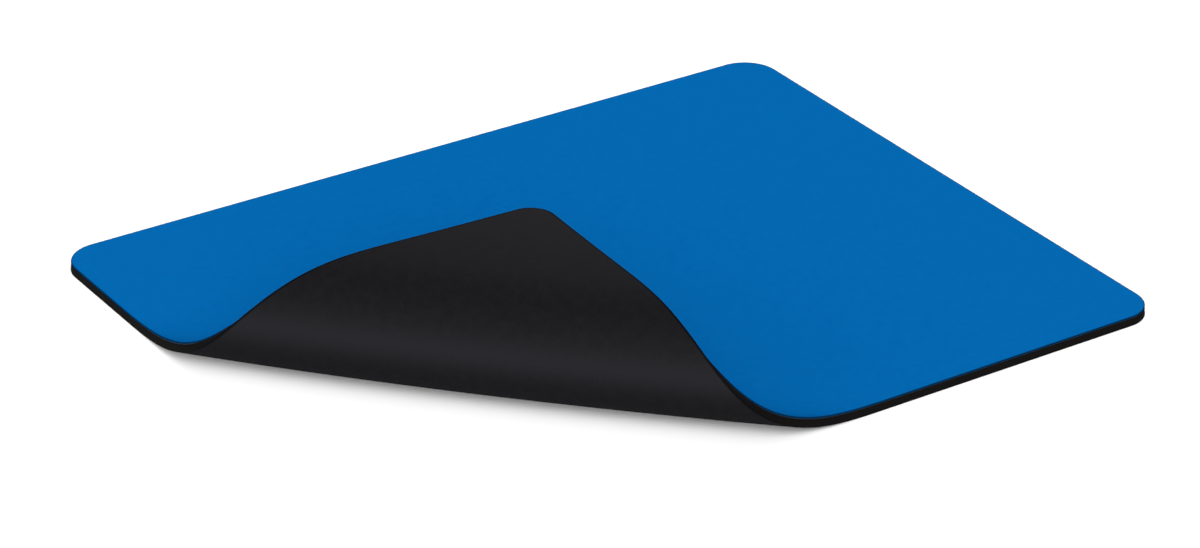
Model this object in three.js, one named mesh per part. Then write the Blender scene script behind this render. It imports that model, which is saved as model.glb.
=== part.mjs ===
// A mouse pad lying on a table, with one corner curled up and folded back over the pad.
// Lengths are in millimetres and +Z is up. The origin is on the table, under the middle of the flat pad. The long
// sides run along X, and the corner that curls is the one at low X and low Y.
// The pad is a laminate of three layers that bend as one: a black sponge rubber base, the adhesive film that bonds it,
// and a blue knitted cloth on top. The layers meet face to face.
import * as THREE from "three";

const { degToRad, clamp, lerp, smootherstep } = THREE.MathUtils;

// The flat pad
const PAD_LENGTH = 250;
const PAD_DEPTH = 200;
const CORNER_RADIUS = 11;

// The layers, from the table up
const BASE_THICKNESS = 2.35;
const BOND_THICKNESS = 0.15;
const CLOTH_THICKNESS = 0.5;

// The curl. The pad leaves the table LIFT_OFF away from the point where the sides of the flat corner would meet,
// measured along FOLD_HEADING, and rolls over by BEND_TURN within BEND_LENGTH of its own length.
const FOLD_HEADING = degToRad(43.65);
const LIFT_OFF = 110;
const BEND_LENGTH = 81.4;
const BEND_TURN = degToRad(179.2);

// The bend is slightly bowed: BOW_REACH to either side of its middle it starts LIFT_OFF_BOW sooner.
const LIFT_OFF_BOW = 3.9;
const BOW_REACH = 100;

// Facets
const BEND_ROWS = 28;
const BEND_COLUMNS = 10;
const TIP_COLUMNS = 4;
const FLAT_COLUMNS = 1;
const CORNER_STEPS = 8;
const TIP_STEPS = 5;
const PATH_STEPS = 80;
const EDGE_HALVINGS = 40;
const LEAST_ROW_GAP = 0.4;

const COLOURS = { base: 0x201f23, bond: 0x9fb2bd, cloth: 0x0567ae };

// The height in the laminate that keeps its length in the bend
const NEUTRAL_HEIGHT = (BASE_THICKNESS + BOND_THICKNESS + CLOTH_THICKNESS) / 2;

// Flat places are given as the distance along the fold's heading from the curled corner, and the distance across it.
const ALONG = new THREE.Vector3(Math.cos(FOLD_HEADING), Math.sin(FOLD_HEADING), 0);
const ACROSS = new THREE.Vector3(-ALONG.y, ALONG.x, 0);
const CURLED_CORNER = new THREE.Vector3(-PAD_LENGTH / 2, -PAD_DEPTH / 2, 0);

// The centre of a corner's round, as along and across. The signs say which corner it is.
function roundCentre(signX, signY) {
  const centre = new THREE.Vector3(
    signX * (PAD_LENGTH / 2 - CORNER_RADIUS),
    signY * (PAD_DEPTH / 2 - CORNER_RADIUS),
    0,
  ).sub(CURLED_CORNER);
  return { along: centre.dot(ALONG), across: centre.dot(ACROSS) };
}
const CURLED_ROUND = roundCentre(-1, -1);
const RIGHT_ROUND = roundCentre(1, -1);
const LEFT_ROUND = roundCentre(-1, 1);
const FAR_ROUND = roundCentre(1, 1);
const FIRST_ALONG = CURLED_ROUND.along - CORNER_RADIUS;
const LAST_ALONG = FAR_ROUND.along + CORNER_RADIUS;

// How far outside the rounded outline a flat place lies. It is less than zero inside.
function distanceOutside(along, across) {
  const place = CURLED_CORNER.clone().addScaledVector(ALONG, along).addScaledVector(ACROSS, across);
  const pastX = Math.abs(place.x) - (PAD_LENGTH / 2 - CORNER_RADIUS);
  const pastY = Math.abs(place.y) - (PAD_DEPTH / 2 - CORNER_RADIUS);
  const inside = Math.min(Math.max(pastX, pastY), 0);
  return Math.hypot(Math.max(pastX, 0), Math.max(pastY, 0)) + inside - CORNER_RADIUS;
}

// Where the outline crosses a row, on the side of low or high across
function edgeAcross(along, side) {
  const share = (along - FIRST_ALONG) / (LAST_ALONG - FIRST_ALONG);
  let inner = lerp(CURLED_ROUND.across, FAR_ROUND.across, share);
  let outer = inner + side * Math.hypot(PAD_LENGTH, PAD_DEPTH);
  for (let i = 0; i < EDGE_HALVINGS; i++) {
    const middle = (inner + outer) / 2;
    if (distanceOutside(along, middle) < 0) inner = middle;
    else outer = middle;
  }
  return inner;
}

// How far the laminate has turned over, a given run past its lift-off: slowly at both ends of the bend
function turnAt(run) {
  return BEND_TURN * smootherstep(clamp(run / BEND_LENGTH, 0, 1), 0, 1);
}

// Where the neutral height has got to, a given run past the lift-off: forward to the curled corner, and up
function bendAt(run) {
  const bent = Math.min(run, BEND_LENGTH);
  const turn = turnAt(run);
  const step = bent / PATH_STEPS;
  let forward = (run - bent) * Math.cos(turn);
  let rise = (run - bent) * Math.sin(turn);
  for (let i = 0; i < PATH_STEPS; i++) {
    const midTurn = turnAt((i + 1 / 2) * step);
    forward += Math.cos(midTurn) * step;
    rise += Math.sin(midTurn) * step;
  }
  return { turn, forward, rise };
}

// The place of a flat point of the laminate once its corner is curled
function curled(along, across, height) {
  const liftOff = LIFT_OFF + LIFT_OFF_BOW * (across / BOW_REACH) ** 2;
  const { turn, forward, rise } = bendAt(Math.max(liftOff - along, 0));
  const aboveNeutral = height - NEUTRAL_HEIGHT;
  const newAlong = Math.max(along, liftOff) - forward + aboveNeutral * Math.sin(turn);
  const place = CURLED_CORNER.clone().addScaledVector(ALONG, newAlong).addScaledVector(ACROSS, across);
  place.z = NEUTRAL_HEIGHT + rise + aboveNeutral * Math.cos(turn);
  return place;
}

// The rows that a corner's round needs, between two bearings from its centre that are counted from the heading
function roundRows(centre, fromBearing, toBearing, steps) {
  return Array.from({ length: steps }, (_, i) => {
    const bearing = lerp(fromBearing, toBearing, (i + 1) / steps);
    return centre.along + CORNER_RADIUS * Math.cos(bearing);
  });
}

// The rows run across the heading. Each is a list of flat places, from one edge of the pad to the other.
function makeRows() {
  const quarter = Math.PI / 2;
  const tipSpread = Math.max(FOLD_HEADING, quarter - FOLD_HEADING);
  const bendStart = LIFT_OFF + LIFT_OFF_BOW;
  const bendEnd = LIFT_OFF - BEND_LENGTH;
  const alongs = [
    ...roundRows(CURLED_ROUND, Math.PI, Math.PI + tipSpread, TIP_STEPS),
    ...Array.from({ length: BEND_ROWS + 1 }, (_, i) => lerp(bendEnd, bendStart, i / BEND_ROWS)),
    ...roundRows(LEFT_ROUND, Math.PI - FOLD_HEADING, quarter - FOLD_HEADING, CORNER_STEPS),
    ...roundRows(RIGHT_ROUND, -quarter - FOLD_HEADING, -FOLD_HEADING, CORNER_STEPS),
    ...roundRows(FAR_ROUND, tipSpread, 0, TIP_STEPS),
  ].sort((a, b) => a - b);
  const rows = [{ along: FIRST_ALONG, acrosses: [CURLED_ROUND.across] }];
  for (const along of alongs) {
    if (along < rows.at(-1).along + LEAST_ROW_GAP || along > LAST_ALONG - LEAST_ROW_GAP) continue;
    let columns = BEND_COLUMNS;
    if (along < bendEnd) columns = TIP_COLUMNS;
    if (along > bendStart) columns = FLAT_COLUMNS;
    const low = edgeAcross(along, -1);
    const high = edgeAcross(along, 1);
    rows.push({ along, acrosses: Array.from({ length: columns + 1 }, (_, i) => lerp(low, high, i / columns)) });
  }
  rows.push({ along: LAST_ALONG, acrosses: [FAR_ROUND.across] });
  return rows;
}

// Triangles between two neighbouring rows of vertices that may differ in number, facing up in the flat pad
function joinRows(near, far) {
  const faces = [];
  let i = 0;
  let j = 0;
  while (i < near.length - 1 || j < far.length - 1) {
    const nearShare = (i + 1) / near.length;
    const farShare = (j + 1) / far.length;
    if (j === far.length - 1 || (i < near.length - 1 && nearShare < farShare)) {
      faces.push([near[i], far[j], near[i + 1]]);
      i += 1;
    } else {
      faces.push([near[i], far[j], far[j + 1]]);
      j += 1;
    }
  }
  return faces;
}

const ROWS = makeRows();

// One layer of the laminate, between two heights above the table in the flat pad
function makeLayer(name, lowHeight, highHeight, material) {
  const positions = [];
  const addSheet = (height) =>
    ROWS.map((row) =>
      row.acrosses.map((across) => {
        positions.push(...curled(row.along, across, height));
        return positions.length / 3 - 1;
      }),
    );
  const top = addSheet(highHeight);
  const bottom = addSheet(lowHeight);
  const faces = [];
  for (let i = 0; i + 1 < ROWS.length; i++) {
    faces.push(...joinRows(top[i], top[i + 1]));
    faces.push(...joinRows(bottom[i], bottom[i + 1]).map((face) => face.reverse()));
    // The cut edge on the side of low across, then on the side of high across
    faces.push([top[i][0], bottom[i][0], bottom[i + 1][0]]);
    faces.push([top[i][0], bottom[i + 1][0], top[i + 1][0]]);
    faces.push([top[i].at(-1), bottom[i + 1].at(-1), bottom[i].at(-1)]);
    faces.push([top[i].at(-1), top[i + 1].at(-1), bottom[i + 1].at(-1)]);
  }
  const geometry = new THREE.BufferGeometry();
  geometry.setAttribute("position", new THREE.Float32BufferAttribute(positions, 3));
  geometry.setIndex(faces.flat());
  geometry.computeVertexNormals();
  const mesh = new THREE.Mesh(geometry, material);
  mesh.name = name;
  return mesh;
}

const rubber = new THREE.MeshStandardMaterial({ color: COLOURS.base, roughness: 0.75, metalness: 0 });
const adhesive = new THREE.MeshStandardMaterial({ color: COLOURS.bond, roughness: 0.5, metalness: 0 });
const cloth = new THREE.MeshStandardMaterial({ color: COLOURS.cloth, roughness: 0.9, metalness: 0 });

const bondTop = BASE_THICKNESS + BOND_THICKNESS;
const pad = new THREE.Group();
pad.add(
  makeLayer("rubber_base", 0, BASE_THICKNESS, rubber),
  makeLayer("bond_film", BASE_THICKNESS, bondTop, adhesive),
  makeLayer("cloth_top", bondTop, bondTop + CLOTH_THICKNESS, cloth),
);

export default pad;
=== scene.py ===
"""The looks of a mouse pad whose near corner is curled up and folded back over the pad.

The pad is a laminate of three layers: a black sponge rubber base, a thin bond film and a blue knitted
cloth. Each layer is one closed mesh that takes the place of its solid in the frame. A layer is laid out
flat first, with its cut edge as a profile that runs round the outline, and every vertex is then bent by
the same curl as the solids are. Lengths are in metres, +Z is up, and the table is at z = 0.
"""

import math

import bpy
import numpy as np
from mathutils import Matrix, Vector
from mathutils.geometry import delaunay_2d_cdt


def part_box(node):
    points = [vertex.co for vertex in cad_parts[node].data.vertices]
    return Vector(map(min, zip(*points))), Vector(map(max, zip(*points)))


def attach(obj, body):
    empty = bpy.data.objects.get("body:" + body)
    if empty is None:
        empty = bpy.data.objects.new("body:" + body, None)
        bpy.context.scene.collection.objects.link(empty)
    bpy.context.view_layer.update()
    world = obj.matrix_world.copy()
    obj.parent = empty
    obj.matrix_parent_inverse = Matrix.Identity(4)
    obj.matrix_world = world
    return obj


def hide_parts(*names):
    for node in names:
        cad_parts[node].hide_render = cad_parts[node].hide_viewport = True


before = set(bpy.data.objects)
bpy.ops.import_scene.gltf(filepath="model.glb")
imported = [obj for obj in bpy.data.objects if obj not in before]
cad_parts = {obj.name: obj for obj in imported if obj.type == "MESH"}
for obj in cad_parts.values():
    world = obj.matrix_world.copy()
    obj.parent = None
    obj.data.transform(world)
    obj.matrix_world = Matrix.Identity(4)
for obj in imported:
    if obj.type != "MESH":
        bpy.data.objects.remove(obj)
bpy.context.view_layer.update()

MM = 0.001

# The flat pad, whose far corner the curl leaves where it is
FAR_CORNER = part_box("cloth_top")[1]
HALF_LENGTH = FAR_CORNER.x
HALF_DEPTH = FAR_CORNER.y

# The rounding of its corners, tighter at the right one and tighter still at the curled one
CORNER_RADIUS = 11 * MM
RIGHT_RADIUS = 10 * MM
CURLED_RADIUS = 7.5 * MM

# The heights of the layers in the flat pad
BASE_TOP = 2.35 * MM
BOND_TOP = 2.5 * MM
CLOTH_TOP = 3 * MM
NEUTRAL_HEIGHT = CLOTH_TOP / 2

# The cut edge of the cloth, rounded at its rim and drawn in a little where it meets the film
CLOTH_RIM_REACH = 0.16 * MM
CLOTH_RIM_DROP = 0.14 * MM
CLOTH_HEM_HEIGHT = 0.1 * MM
CLOTH_HEM_INSET = 0.02 * MM
CLOTH_FOOT_INSET = 0.08 * MM

# The cut edge of the film, and of the base, which leans out to a rounded foot
BOND_INSET = 0.14 * MM
BASE_RIM_INSET = 0.05 * MM
BASE_RIM_DROP = 0.08 * MM
BASE_WAIST_LEAN = 0.08 * MM
BASE_FOOT_LEAN = 0.22 * MM
BASE_FOOT_ROUND = 0.12 * MM

# The curl, as in the solids: where the pad leaves the table, how long the bend is and how far it turns
FOLD_HEADING = math.radians(43.65)
LIFT_OFF = 110 * MM
BEND_LENGTH = 81.4 * MM
BEND_TURN = math.radians(179.2)
LIFT_OFF_BOW = 3.9 * MM
BOW_REACH = 100 * MM
PATH_STEPS = 2000

# Painted light on the underside's skin: a painted sheen in a band along the tightest part of the bend, and
# painted light that grows towards the curled corner's tip
SHEEN_BAND_RUN = 43.2 * MM
SHEEN_BAND_REACH = 4.6 * MM
TIP_LIGHT_FROM = 60 * MM
TIP_LIGHT_TO = 106 * MM
TIP_PAINTED_LIGHT = 0.77

# How finely the meshes are cut
EDGE_STEP = 2 * MM
ROUND_STEPS = 18
PROFILE_STEPS = 5
RIM_WIDTH = 0.7 * MM
BEND_ROW_GAP = 1.2 * MM
BEND_COLUMN_GAP = 4 * MM
FLAT_GAP = 6 * MM
MERGE_GAP = 1e-7

# The photograph's camera
IMAGE_WIDTH = 1200
SENSOR_WIDTH = 36
FOCAL_PIXELS = 4269
VIEW_AZIMUTH = math.radians(-33.99)
VIEW_ELEVATION = math.radians(28.17)
VIEW_ROLL = math.radians(0.59)
VIEW_DISTANCE = 1237.7 * MM
AIM_RIGHT = -0.96 * MM
AIM_UP = 4.44 * MM
NEAR_CLIP = 50 * MM
FAR_CLIP = 50

# The cloth: its stitches, its fibres and its mottle, how far its dark cut with painted shade reaches, and
# its colours
STITCH_WIDTH = 0.46 * MM
STITCH_LENGTH = 0.36 * MM
STITCH_SLANT = 1.6
LOOP_RELIEF = 0.35
FIBRE_SIZE = 0.12 * MM
FIBRE_RELIEF = 0.25
MOTTLE_SIZE = 2.2 * MM
CLOTH_RELIEF = 0.05 * MM
CLOTH_CUT_FROM = 0.05 * MM
CLOTH_CUT_TO = 0.45 * MM
CLOTH_BLUE = (0.0009, 0.0948, 0.3004, 1)
CLOTH_SHADE = (0.0009, 0.0882, 0.2802, 1)
CLOTH_CUT_DARK_AND_SHADE = (0.0006, 0.0145, 0.045, 1)

# The rubber: the grain of its skin, its open cells and its clouds, how far its cut shows and how far the
# painted shade along its rim reaches, and its colours
GRAIN_SIZE = 0.62 * MM
CELL_SIZE = 0.22 * MM
CLOUD_SIZE = 3 * MM
RUBBER_RELIEF = 0.04 * MM
RUBBER_CUT_FROM = 0.1 * MM
RUBBER_CELLS_TO = 0.35 * MM
RIM_SHADE_TO = 0.5 * MM
WALL_FROM = 0.05 * MM
WALL_TO = 0.2 * MM
SKIN_DARK = (0.0041, 0.0039, 0.0047, 1)
SKIN_LIGHT = (0.0056, 0.0054, 0.0064, 1)
# The colour of the painted sheen and painted light on the underside
SKIN_PAINTED_LIGHT = (0.0088, 0.0085, 0.0101, 1)
SKIN_RIM_PAINTED_SHADE = (0.0009, 0.001, 0.0016, 1)
RUBBER_CUT = (0.0034, 0.0030, 0.0028, 1)

# The film: its streaks and its colours
STREAK_SIZE = 0.4 * MM
BOND_RELIEF = 0.02 * MM
BOND_DARK = (0.006, 0.012, 0.02, 1)
BOND_LIGHT = (0.012, 0.02, 0.032, 1)

# The stretch of a noise's values that holds nearly all of them
NOISE_LOW = 0.3
NOISE_HIGH = 0.7

# The floor
FLOOR_RADIUS = 8
FLOOR_SIDES = 96
FLOOR_WHITE = (0.86, 0.86, 0.86, 1)

# The studio's soft lamps, as wide glows in a dark sky. Each has a bearing, an elevation and a strength. The
# bearing starts from the side that the curled corner points to and turns towards the pad's left side, so
# that a lamp on the right has one below zero. An elevation past 90 degrees is behind the pad.
LAMPS = {
    "key": (-24, 40, 14.5),
    "low_card": (5, 8, 3.8),
    "left_card": (50, 8, 3.2),
    "far_left_card": (75, 2, 6.0),
    "back": (0, 150, 5.8),
    "top": (0, 90, 1.3),
}
LAMP_FOCUS = 14


def make_camera():
    """The camera at the photograph's viewing angle, aimed a little above the middle of the pad."""
    azimuth_sin, azimuth_cos = math.sin(VIEW_AZIMUTH), math.cos(VIEW_AZIMUTH)
    level = math.cos(VIEW_ELEVATION)
    back = Vector((azimuth_sin * level, -azimuth_cos * level, math.sin(VIEW_ELEVATION)))
    level_right = Vector((azimuth_cos, azimuth_sin, 0))
    level_up = back.cross(level_right)
    right = level_right * math.cos(VIEW_ROLL) + level_up * math.sin(VIEW_ROLL)
    up = back.cross(right)
    data = bpy.data.cameras.new("camera")
    data.sensor_width = SENSOR_WIDTH
    data.lens = FOCAL_PIXELS / IMAGE_WIDTH * SENSOR_WIDTH
    data.clip_start = NEAR_CLIP
    data.clip_end = FAR_CLIP
    camera = bpy.data.objects.new("camera", data)
    bpy.context.scene.collection.objects.link(camera)
    place = back * VIEW_DISTANCE + right * AIM_RIGHT + up * AIM_UP
    camera.matrix_world = Matrix.Translation(place) @ Matrix((right, up, back)).transposed().to_4x4()
    bpy.context.scene.camera = camera


class Curl:
    """The bend of the laminate. It moves flat points, given as x, y and height, to where they lie."""

    def __init__(self):
        self.along = np.array([math.cos(FOLD_HEADING), math.sin(FOLD_HEADING)])
        self.across = np.array([-self.along[1], self.along[0]])
        self.corner = np.array([-HALF_LENGTH, -HALF_DEPTH])
        step = BEND_LENGTH / PATH_STEPS
        self.runs = np.arange(PATH_STEPS + 1) * step
        middles = self.turn(self.runs[:-1] + step / 2)
        self.forwards = np.concatenate([[0], np.cumsum(np.cos(middles)) * step])
        self.rises = np.concatenate([[0], np.cumsum(np.sin(middles)) * step])

    def turn(self, run):
        """How far the laminate has turned over a given run past its lift-off: slowly at both ends."""
        share = np.clip(run / BEND_LENGTH, 0, 1)
        return BEND_TURN * share**3 * (share * (share * 6 - 15) + 10)

    def laid(self, points):
        """The distance of flat points along the heading, from the curled corner, and across it."""
        from_corner = points[:, :2] - self.corner
        return from_corner @ self.along, from_corner @ self.across

    def flat(self, along, across):
        """The flat x and y of a distance along the heading and a distance across it."""
        place = self.corner + np.multiply.outer(along, self.along) + np.multiply.outer(across, self.across)
        return place[..., 0], place[..., 1]

    def lift_off(self, across):
        """How far along the heading the pad leaves the table, at a distance across it."""
        return LIFT_OFF + LIFT_OFF_BOW * (across / BOW_REACH) ** 2

    def painted_light(self, points):
        """How much painted sheen and painted light the underside's skin gets at flat points."""
        along, across = self.laid(points)
        run = self.lift_off(across) - along
        in_sheen_band = np.exp(-(((run - SHEEN_BAND_RUN) / SHEEN_BAND_REACH) ** 2))
        toward_tip = np.clip((run - TIP_LIGHT_FROM) / (TIP_LIGHT_TO - TIP_LIGHT_FROM), 0, 1)
        return in_sheen_band + TIP_PAINTED_LIGHT * toward_tip

    def bend(self, points):
        """Where flat points lie once the corner is curled."""
        along, across = self.laid(points)
        lift_off = self.lift_off(across)
        run = np.maximum(lift_off - along, 0)
        straight = np.maximum(run - BEND_LENGTH, 0)
        turn = self.turn(run)
        forward = np.interp(run, self.runs, self.forwards) + straight * np.cos(turn)
        rise = np.interp(run, self.runs, self.rises) + straight * np.sin(turn)
        above_neutral = points[:, 2] - NEUTRAL_HEIGHT
        new_along = np.maximum(along, lift_off) - forward + above_neutral * np.sin(turn)
        x, y = self.flat(new_along, across)
        z = NEUTRAL_HEIGHT + rise + above_neutral * np.cos(turn)
        return np.stack([x, y, z], axis=1)


CURL = Curl()


def corner_arc(index, sign_x, sign_y, radius, inset):
    """The rounded outline of one corner, moved inwards by inset."""
    centre = np.array([sign_x * (HALF_LENGTH - radius), sign_y * (HALF_DEPTH - radius)])
    first_bearing = (index - 1) * math.pi / 2
    points = []
    for step in range(ROUND_STEPS + 1):
        bearing = first_bearing + step / ROUND_STEPS * math.pi / 2
        points.append(centre + (radius - inset) * np.array([math.cos(bearing), math.sin(bearing)]))
    return points


def outline(inset):
    """The flat outline moved inwards by inset, anticlockwise. Every inset has the same number of points."""
    corners = [
        (1, -1, RIGHT_RADIUS),
        (1, 1, CORNER_RADIUS),
        (-1, 1, CORNER_RADIUS),
        (-1, -1, CURLED_RADIUS),
    ]
    arcs = [corner_arc(index, *corner, inset) for index, corner in enumerate(corners)]
    points = []
    for index, arc in enumerate(arcs):
        start, end = arc[-1], arcs[(index + 1) % len(arcs)][0]
        pieces = round(float(np.linalg.norm(end - start)) / EDGE_STEP)
        points += arc
        points += [start + (end - start) * step / pieces for step in range(1, pieces)]
    return np.array(points)


def inside_distance(x, y):
    """How far inside the outline flat places lie, or a little less at the two tighter corners."""
    past_x = np.abs(x) - (HALF_LENGTH - CORNER_RADIUS)
    past_y = np.abs(y) - (HALF_DEPTH - CORNER_RADIUS)
    outside = np.hypot(np.maximum(past_x, 0), np.maximum(past_y, 0))
    return CORNER_RADIUS - outside - np.minimum(np.maximum(past_x, past_y), 0)


def inner_points():
    """Flat places inside the rim, in close rows square to the heading where the laminate bends."""
    diagonal = 2 * math.hypot(HALF_LENGTH, HALF_DEPTH)
    bend_start = LIFT_OFF + LIFT_OFF_BOW + EDGE_STEP
    bend_end = LIFT_OFF - BEND_LENGTH - EDGE_STEP
    places = []
    for first, last, row_gap, column_gap in (
        (0, bend_end, BEND_COLUMN_GAP, BEND_COLUMN_GAP),
        (bend_end, bend_start, BEND_ROW_GAP, BEND_COLUMN_GAP),
        (bend_start, diagonal, FLAT_GAP, FLAT_GAP),
    ):
        rows = np.arange(first, last, row_gap)
        columns = np.arange(-diagonal / 2, diagonal / 2, column_gap)
        along, across = (grid.ravel() for grid in np.meshgrid(rows, columns, indexing="ij"))
        x, y = CURL.flat(along, across)
        kept = inside_distance(x, y) > RIM_WIDTH + EDGE_STEP / 2
        places.append(np.stack([x[kept], y[kept]], axis=1))
    return np.concatenate(places)


def fill_inside():
    """Triangles that fill the pad inside its rim. The outline's points come first among the vertices."""
    rim = outline(RIM_WIDTH)
    places = np.concatenate([rim, inner_points()])
    loop = list(range(len(rim)))
    made = delaunay_2d_cdt([Vector(place) for place in places], [], [loop], 1, MERGE_GAP)
    vertices = np.array([tuple(vertex) for vertex in made[0]])
    order = np.array([origins[0] for origins in made[3]])
    position = np.empty(len(vertices), int)
    position[order] = np.arange(len(vertices))
    faces = np.array([[order[i] for i in face] for face in made[2]])
    return vertices[position], faces, len(rim)


INSIDE, INSIDE_FACES, RIM_COUNT = fill_inside()
INNER = INSIDE[RIM_COUNT:]


def quarter_round(inset, height, reach, rise):
    """A rounded corner of a profile, from (inset + reach, height) to (inset, height + rise)."""
    bearings = [math.pi / 2 * step / PROFILE_STEPS for step in range(PROFILE_STEPS + 1)]
    return [(inset + reach * (1 - math.sin(b)), height + rise * (1 - math.cos(b))) for b in bearings]


def flat_layer(rings):
    """The flat vertices of a layer, rings first and then both faces, and how far each is from the cut."""
    flat = []
    insets = []
    for inset, height in rings:
        ring = outline(inset)
        flat.append(np.column_stack([ring, np.full(len(ring), height)]))
        insets.append(np.full(len(ring), inset))
    for height in (rings[0][1], rings[-1][1]):
        flat.append(np.column_stack([INNER, np.full(len(INNER), height)]))
        insets.append(np.full(len(INNER), RIM_WIDTH))
    return np.concatenate(flat), np.concatenate(insets)


def layer_faces(ring_count):
    """The faces of a closed layer: its top, its bottom, and a band between each two neighbouring rings."""
    rim = np.arange(RIM_COUNT)
    inner = ring_count * RIM_COUNT + np.arange(len(INNER))
    top = np.concatenate([rim, inner])
    bottom = np.concatenate([rim + (ring_count - 1) * RIM_COUNT, inner + len(INNER)])
    faces = [top[face].tolist() for face in INSIDE_FACES]
    faces += [bottom[face[::-1]].tolist() for face in INSIDE_FACES]
    for upper in range(0, (ring_count - 1) * RIM_COUNT, RIM_COUNT):
        lower = upper + RIM_COUNT
        for i in range(RIM_COUNT):
            j = (i + 1) % RIM_COUNT
            faces.append([upper + i, lower + i, lower + j, upper + j])
    return faces


def make_layer(name, profile, node):
    """A closed layer of the laminate. Its profile runs from its top round the cut edge to its bottom."""
    rings = [(RIM_WIDTH, profile[0][1]), *profile, (RIM_WIDTH, profile[-1][1])]
    flat, insets = flat_layer(rings)
    mesh = bpy.data.meshes.new(name)
    mesh.from_pydata(CURL.bend(flat).tolist(), [], layer_faces(len(rings)))
    mesh.update()
    place = mesh.attributes.new("flat_place", "FLOAT_VECTOR", "POINT")
    place.data.foreach_set("vector", flat.astype(np.float32).ravel())
    # Besides the cut distance, each vertex stores how much painted sheen and painted light it gets
    for attribute_name, values in (("cut_distance", insets), ("painted_light", CURL.painted_light(flat))):
        attribute = mesh.attributes.new(attribute_name, "FLOAT", "POINT")
        attribute.data.foreach_set("value", values.astype(np.float32))
    mesh.polygons.foreach_set("use_smooth", [True] * len(mesh.polygons))
    layer = bpy.data.objects.new(name, mesh)
    bpy.context.scene.collection.objects.link(layer)
    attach(layer, "root")
    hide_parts(node)
    return layer


class Nodes:
    """A short way to add shader nodes and link them."""

    def __init__(self, owner):
        owner.use_nodes = True
        self.tree = owner.node_tree
        self.tree.nodes.clear()

    def add(self, kind, inputs=None, **settings):
        node = self.tree.nodes.new(kind)
        for key, value in settings.items():
            setattr(node, key, value)
        for key, value in (inputs or {}).items():
            if isinstance(value, bpy.types.NodeSocket):
                self.tree.links.new(value, node.inputs[key])
            else:
                node.inputs[key].default_value = value
        return node

    def attribute(self, name, output="Fac"):
        return self.add("ShaderNodeAttribute", attribute_name=name).outputs[output]

    def math(self, operation, *values):
        return self.add("ShaderNodeMath", dict(enumerate(values)), operation=operation).outputs[0]

    def wave(self, value, length=1):
        """A sine wave along a value."""
        return self.math("SINE", self.math("MULTIPLY", value, math.tau / length))

    def scaled(self, vector, size):
        """A vector measured in steps of a size."""
        inputs = {0: vector, "Scale": 1 / size}
        return self.add("ShaderNodeVectorMath", inputs, operation="SCALE").outputs[0]

    def noise(self, vector, detail, roughness=0.5):
        inputs = {"Vector": vector, "Scale": 1.0, "Detail": detail, "Roughness": roughness}
        return self.add("ShaderNodeTexNoise", inputs).outputs["Fac"]

    def map_range(self, value, low, high, to_low=0.0, to_high=1.0):
        inputs = {"Value": value, "From Min": low, "From Max": high, "To Min": to_low, "To Max": to_high}
        return self.add("ShaderNodeMapRange", inputs).outputs["Result"]

    def near_cut(self, cut_distance, first, last):
        """1 near the cut, falling to 0 between two distances from it."""
        return self.map_range(cut_distance, first, last, 1.0, 0.0)

    def mix_colour(self, share, first, second):
        inputs = {0: share, 6: first, 7: second}
        return self.add("ShaderNodeMix", inputs, data_type="RGBA").outputs[2]

    def bump(self, height, distance, strength=1.0):
        inputs = {"Height": height, "Distance": distance, "Strength": strength}
        return self.add("ShaderNodeBump", inputs).outputs[0]

    def finish(self, **inputs):
        inputs = {name.replace("_", " "): value for name, value in inputs.items()}
        shader = self.add("ShaderNodeBsdfPrincipled", inputs)
        self.add("ShaderNodeOutputMaterial", {"Surface": shader.outputs[0]})


def knit_height(nodes, place):
    """The face of a plain knit: columns of V-shaped stitches, as a height from 0 to 1."""
    parts = nodes.add("ShaderNodeSeparateXYZ", {0: place}).outputs
    in_column = nodes.math("FRACT", nodes.math("DIVIDE", parts[0], STITCH_WIDTH))
    from_middle = nodes.math("ABSOLUTE", nodes.math("SUBTRACT", in_column, 0.5))
    leg = nodes.wave(from_middle)
    slant = nodes.math("MULTIPLY", from_middle, STITCH_SLANT)
    loop = nodes.wave(nodes.math("ADD", nodes.math("DIVIDE", parts[1], STITCH_LENGTH), slant))
    lifted = nodes.math("MULTIPLY_ADD", loop, LOOP_RELIEF, 1 - LOOP_RELIEF)
    return nodes.math("MULTIPLY", leg, lifted)


def make_cloth_material():
    """Blue polyester knit: matt, with a faint mottle, and darker where it is cut, partly the cut's own dark
    colour and partly painted shade on the cut face.
    """
    material = bpy.data.materials.new("blue_knit")
    nodes = Nodes(material)
    place = nodes.attribute("flat_place", "Vector")
    mottle = nodes.noise(nodes.scaled(place, MOTTLE_SIZE), 3.0)
    colour = nodes.mix_colour(nodes.map_range(mottle, NOISE_LOW, NOISE_HIGH), CLOTH_BLUE, CLOTH_SHADE)
    # Darker at the cut: partly the cut's own dark colour, partly painted shade on the cut face
    at_cut = nodes.near_cut(nodes.attribute("cut_distance"), CLOTH_CUT_FROM, CLOTH_CUT_TO)
    colour = nodes.mix_colour(at_cut, colour, CLOTH_CUT_DARK_AND_SHADE)
    fibre = nodes.noise(nodes.scaled(place, FIBRE_SIZE), 1.0)
    height = nodes.math("MULTIPLY_ADD", fibre, FIBRE_RELIEF, knit_height(nodes, place))
    nodes.finish(
        Base_Color=colour,
        Roughness=0.92,
        Specular_IOR_Level=0.0,
        Normal=nodes.bump(height, CLOTH_RELIEF, 0.6),
    )
    return material


def rubber_height(nodes, place, x, y, cut_distance):
    """The relief of the rubber: a fine fabric grain on its skin, and open cells where it is cut."""
    skin = nodes.math("MULTIPLY", nodes.wave(x, GRAIN_SIZE), nodes.wave(y, GRAIN_SIZE))
    inputs = {"Vector": nodes.scaled(place, CELL_SIZE), "Scale": 1.0}
    open_cells = nodes.add("ShaderNodeTexVoronoi", inputs).outputs["Distance"]
    at_cut = nodes.near_cut(cut_distance, RUBBER_CUT_FROM, RUBBER_CELLS_TO)
    return nodes.add("ShaderNodeMix", {0: at_cut, 2: skin, 3: open_cells}).outputs[0]


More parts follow.
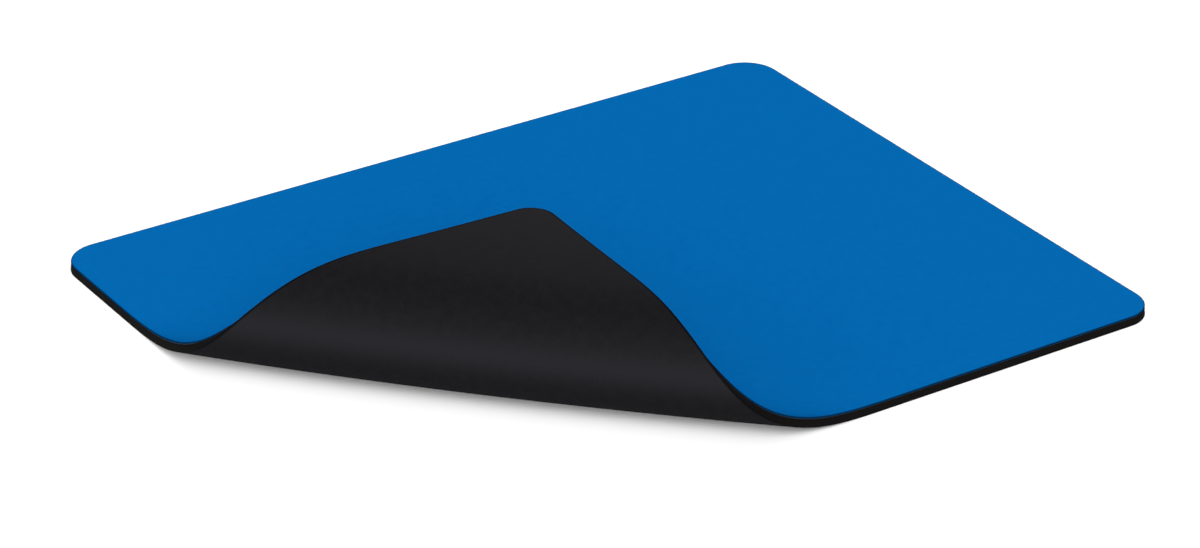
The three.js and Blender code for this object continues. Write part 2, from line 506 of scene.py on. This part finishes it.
def make_rubber_material():
    """Black sponge rubber: its skin gets a painted sheen band along the bend, painted light towards the
    curled tip, and painted shade along its rim.
    """
    material = bpy.data.materials.new("black_sponge_rubber")
    nodes = Nodes(material)
    place = nodes.attribute("flat_place", "Vector")
    cut_distance = nodes.attribute("cut_distance")
    x, y, height = nodes.add("ShaderNodeSeparateXYZ", {0: place}).outputs
    clouds = nodes.noise(nodes.scaled(place, CLOUD_SIZE), 4.0, 0.6)
    colour = nodes.mix_colour(nodes.map_range(clouds, NOISE_LOW, NOISE_HIGH), SKIN_DARK, SKIN_LIGHT)
    # Painted sheen along the bend and painted light towards the curled tip
    colour = nodes.mix_colour(nodes.attribute("painted_light"), colour, SKIN_PAINTED_LIGHT)
    # Painted shade: the skin is blacker along its rim, at the wall's foot on the table and round the
    # underside's edge
    rim_shade = nodes.near_cut(cut_distance, RUBBER_CUT_FROM, RIM_SHADE_TO)
    colour = nodes.mix_colour(rim_shade, colour, SKIN_RIM_PAINTED_SHADE)
    colour = nodes.mix_colour(nodes.map_range(height, WALL_FROM, WALL_TO), colour, RUBBER_CUT)
    normal = nodes.bump(rubber_height(nodes, place, x, y, cut_distance), RUBBER_RELIEF, 0.5)
    nodes.finish(
        Base_Color=colour,
        Roughness=0.75,
        Specular_IOR_Level=0.0,
        Coat_Weight=0.13,
        Coat_IOR=1.3,
        Coat_Roughness=0.6,
        Normal=normal,
        Coat_Normal=normal,
    )
    return material


def make_bond_material():
    """The dried adhesive film between rubber and cloth, seen only as a line in the cut edge."""
    material = bpy.data.materials.new("bond_film")
    nodes = Nodes(material)
    place = nodes.attribute("flat_place", "Vector")
    streaks = nodes.noise(nodes.scaled(place, STREAK_SIZE), 2.0)
    colour = nodes.mix_colour(streaks, BOND_DARK, BOND_LIGHT)
    nodes.finish(Base_Color=colour, Roughness=0.5, Normal=nodes.bump(streaks, BOND_RELIEF))
    return material


def make_floor():
    """A plain white table top, wide enough to fill the view from any side."""
    bearings = [math.tau * step / FLOOR_SIDES for step in range(FLOOR_SIDES)]
    rim = [(FLOOR_RADIUS * math.cos(b), FLOOR_RADIUS * math.sin(b), 0) for b in bearings]
    mesh = bpy.data.meshes.new("floor")
    mesh.from_pydata(rim, [], [list(range(FLOOR_SIDES))])
    floor = bpy.data.objects.new("floor", mesh)
    bpy.context.scene.collection.objects.link(floor)
    material = bpy.data.materials.new("white_table")
    Nodes(material).finish(Base_Color=FLOOR_WHITE, Roughness=1.0, Specular_IOR_Level=0.0)
    mesh.materials.append(material)


def make_light():
    """A soft white studio: wide lamps in front, behind and above, brightest in front."""
    world = bpy.data.worlds.new("studio")
    bpy.context.scene.world = world
    nodes = Nodes(world)
    direction = nodes.add("ShaderNodeTexCoord").outputs["Generated"]
    total = 0.0
    for bearing, elevation, strength in LAMPS.values():
        heading = FOLD_HEADING + math.pi - math.radians(bearing)
        level = math.cos(math.radians(elevation))
        lamp = (math.cos(heading) * level, math.sin(heading) * level, math.sin(math.radians(elevation)))
        facing = nodes.add("ShaderNodeVectorMath", {0: direction, 1: lamp}, operation="DOT_PRODUCT")
        share = nodes.math("POWER", nodes.math("MAXIMUM", facing.outputs["Value"], 0.0), LAMP_FOCUS)
        total = nodes.math("ADD", total, nodes.math("MULTIPLY", share, strength))
    background = nodes.add("ShaderNodeBackground", {"Strength": total})
    nodes.add("ShaderNodeOutputWorld", {"Surface": background.outputs[0]})
    bpy.context.scene.view_settings.view_transform = "Standard"


def make_cloth():
    """The blue knit on top."""
    profile = [
        *quarter_round(0, CLOTH_TOP, CLOTH_RIM_REACH, -CLOTH_RIM_DROP),
        (CLOTH_HEM_INSET, BOND_TOP + CLOTH_HEM_HEIGHT),
        (CLOTH_FOOT_INSET, BOND_TOP),
    ]
    cloth = make_layer("cloth_face", profile, "cloth_top")
    cloth.data.materials.append(make_cloth_material())
    return cloth


def make_film():
    """The adhesive between cloth and rubber, a little short of the cut."""
    film = make_layer("bond_line", [(BOND_INSET, BOND_TOP), (BOND_INSET, BASE_TOP)], "bond_film")
    film.data.materials.append(make_bond_material())
    return film


def make_base():
    """The black sponge rubber underneath."""
    profile = [
        (BASE_RIM_INSET, BASE_TOP),
        (0, BASE_TOP - BASE_RIM_DROP),
        (-BASE_WAIST_LEAN, BASE_TOP / 2),
        *reversed(quarter_round(-BASE_FOOT_LEAN, 0, BASE_FOOT_ROUND, BASE_FOOT_ROUND)),
    ]
    base = make_layer("sponge_base", profile, "rubber_base")
    base.data.materials.append(make_rubber_material())
    return base


def make_pad():
    """The three layers. Cloth and film are sheets cut to the pad's outline, and the rubber is solid."""
    cloth = make_cloth()
    film = make_film()
    base = make_base()


make_camera()
make_pad()
make_floor()
make_light()
